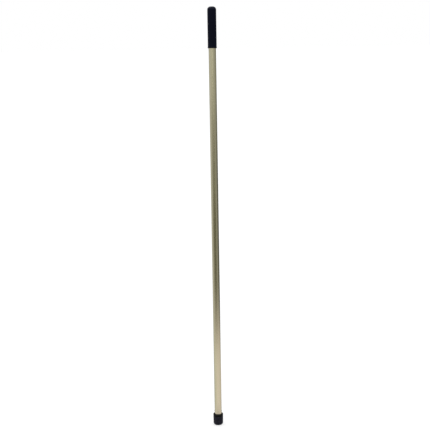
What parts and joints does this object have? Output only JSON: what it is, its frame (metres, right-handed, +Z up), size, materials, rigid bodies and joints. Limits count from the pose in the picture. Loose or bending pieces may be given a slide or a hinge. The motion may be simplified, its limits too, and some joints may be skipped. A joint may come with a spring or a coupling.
{
  "type": "roller extension pole",
  "caption": "Two-section telescopic extension pole with a vinyl hand grip, a twist-lock collar and a threaded tip that parks inside the collar.",
  "frame": {"origin": "centre of the lock nut's flat bottom face, on the pole's axis", "axes": "+Z up the pole towards the hand grip; the inner section comes out along -Z; the collar's two rivets lie along +X and -X"},
  "size_m": [0.0354, 0.0354, 1.472],
  "materials": {
    "champagne_aluminium": "light gold anodised, drawn along its length",
    "silver_aluminium": "clear anodised satin",
    "black_vinyl": "soft dipped vinyl with a low gloss",
    "black_nylon": "glass-filled nylon",
    "white_acetal": "slippery natural acetal",
    "rivet_steel": "zinc-plated steel",
    "black_rubber": "moulded rubber"
  },
  "bodies": {
    "handle": {"outer_tube": "champagne_aluminium", "grip_sleeve": "black_vinyl", "end_plug": "black_nylon", "bumper": "black_rubber", "lock_body": "black_nylon", "trim_ring": "black_nylon", "lock_body_rivets": "rivet_steel", "nut_friction_ring": "black_rubber"},
    "clamp": {"collet": "white_acetal", "thrust_washer": "rivet_steel"},
    "nut": {"lock_nut": "black_nylon"},
    "slider": {"guide_ring": "white_acetal"},
    "inner_section": {"inner_tube": "silver_aluminium", "threaded_tip": "black_nylon", "tip_rivets": "rivet_steel", "guide_plug": "black_nylon", "guide_plug_rivets": "rivet_steel", "stop_sleeve": "white_acetal", "stop_sleeve_pins": "rivet_steel"}
  },
  "joints": [
    {"name": "extend", "type": "slide", "parent": "handle", "child": "slider", "axis": [0, 0, -1], "range_m": [0, 1.22]},
    {"name": "inner_turn", "type": "hinge", "parent": "slider", "child": "inner_section", "pos_m": [0, 0, 1.4349], "axis": [0, 0, -1], "continuous": true},
    {"name": "clamp_release", "type": "slide", "parent": "handle", "child": "clamp", "axis": [0, 0, -1], "range_m": [0, 0.00075]},
    {"name": "nut_turn", "type": "hinge", "parent": "clamp", "child": "nut", "pos_m": [0, 0, 0.0146], "axis": [0, 0, -1], "range_deg": [0, 90]}
  ],
  "couplings": [
    {"joint": "nut_turn", "follows": "clamp_release", "rad_per_m": 2094.4}
  ]
}
